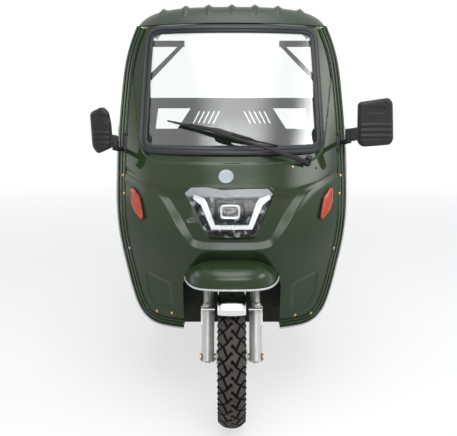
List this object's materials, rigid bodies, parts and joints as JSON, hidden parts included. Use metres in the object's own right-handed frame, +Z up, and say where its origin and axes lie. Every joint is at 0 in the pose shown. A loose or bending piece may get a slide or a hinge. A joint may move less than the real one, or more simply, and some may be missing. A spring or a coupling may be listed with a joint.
{
  "type": "electric cargo tricycle",
  "caption": "Cargo tricycle with a rounded open-sided cab, a steered front wheel, a sprung driven rear axle and a drop-side tailgate on an open bed.",
  "frame": {"origin": "on the ground on the centre plane, halfway along the vehicle", "axes": "+Z up, the nose points to -Y, +X is the vehicle's left"},
  "size_m": [1.1863, 3.045, 1.609],
  "materials": {
    "body_paint": "gloss dark green paint",
    "fork_silver": "silver lacquered alloy",
    "strip_paint": "gloss dark green paint",
    "frame_paint": "satin dark green paint",
    "bed_paint": "satin dark green paint",
    "chassis_paint": "satin black paint",
    "clear_glass": "clear",
    "seal_rubber": "satin",
    "lamp_lens": "clear",
    "lamp_housing": "gloss black",
    "amber_lens": "translucent amber",
    "red_lens": "translucent red",
    "black_plastic": "textured",
    "chrome_steel": "polished",
    "steel": "zinc plated",
    "tyre_rubber": "moulded",
    "rim_paint": "silver",
    "seat_vinyl": "black vinyl",
    "battery_case": "moulded",
    "grip_rubber": "ribbed",
    "motor_metal": "painted"
  },
  "bodies": {
    "root": {"front_shell": "body_paint", "shell_edge_strips": "strip_paint", "fender_cap": "body_paint", "roof": "body_paint", "windscreen_glass": "clear_glass", "windscreen_rubber": "seal_rubber", "headlamp_lens": "lamp_lens", "headlamp_housing": "lamp_housing", "turn_signal_bases": "black_plastic", "turn_signals": "amber_lens", "wiper": "black_plastic", "mirror_left": "black_plastic", "mirror_right": "black_plastic", "dashboard": "black_plastic", "floor_pan": "frame_paint", "seat_box": "frame_paint", "battery_pack": "battery_case", "seat_cushion": "seat_vinyl", "seat_backrest": "seat_vinyl", "rear_bulkhead": "frame_paint", "cab_posts": "frame_paint", "chassis_frame": "chassis_paint", "cargo_bed": "bed_paint", "rear_axle": "steel", "drive_motor": "motor_metal", "leaf_springs": "chassis_paint", "rear_mudguards": "black_plastic", "tail_lamps": "red_lens", "brake_pedal": "steel", "parking_brake_lever": "black_plastic", "tailgate_latches": "steel"},
    "steering": {"front_fork": "fork_silver", "front_axle": "steel", "handlebar": "chassis_paint", "handlebar_grips": "grip_rubber", "instrument_display": "black_plastic", "front_mudguard": "chrome_steel"},
    "front_wheel": {"front_tyre": "tyre_rubber", "front_rim": "rim_paint"},
    "rear_left_wheel": {"rear_left_tyre": "tyre_rubber", "rear_left_rim": "rim_paint"},
    "rear_right_wheel": {"rear_right_tyre": "tyre_rubber", "rear_right_rim": "rim_paint"},
    "tailgate": {"tailgate": "bed_paint"}
  },
  "joints": [
    {"name": "steering", "type": "hinge", "parent": "root", "child": "steering", "pos_m": [0, -1.215, 0.257], "axis": [0, 0.4226, 0.9063], "range_deg": [-38, 38]},
    {"name": "front_wheel_spin", "type": "hinge", "parent": "steering", "child": "front_wheel", "pos_m": [0, -1.25, 0.257], "axis": [1, 0, 0], "continuous": true},
    {"name": "rear_left_wheel_spin", "type": "hinge", "parent": "root", "child": "rear_left_wheel", "pos_m": [0.43, 0.8, 0.257], "axis": [1, 0, 0], "continuous": true},
    {"name": "rear_right_wheel_spin", "type": "hinge", "parent": "root", "child": "rear_right_wheel", "pos_m": [-0.43, 0.8, 0.257], "axis": [1, 0, 0], "continuous": true},
    {"name": "tailgate_drop", "type": "hinge", "parent": "root", "child": "tailgate", "pos_m": [0, 1.523, 0.605], "axis": [-1, 0, 0], "range_deg": [0, 170]}
  ]
}
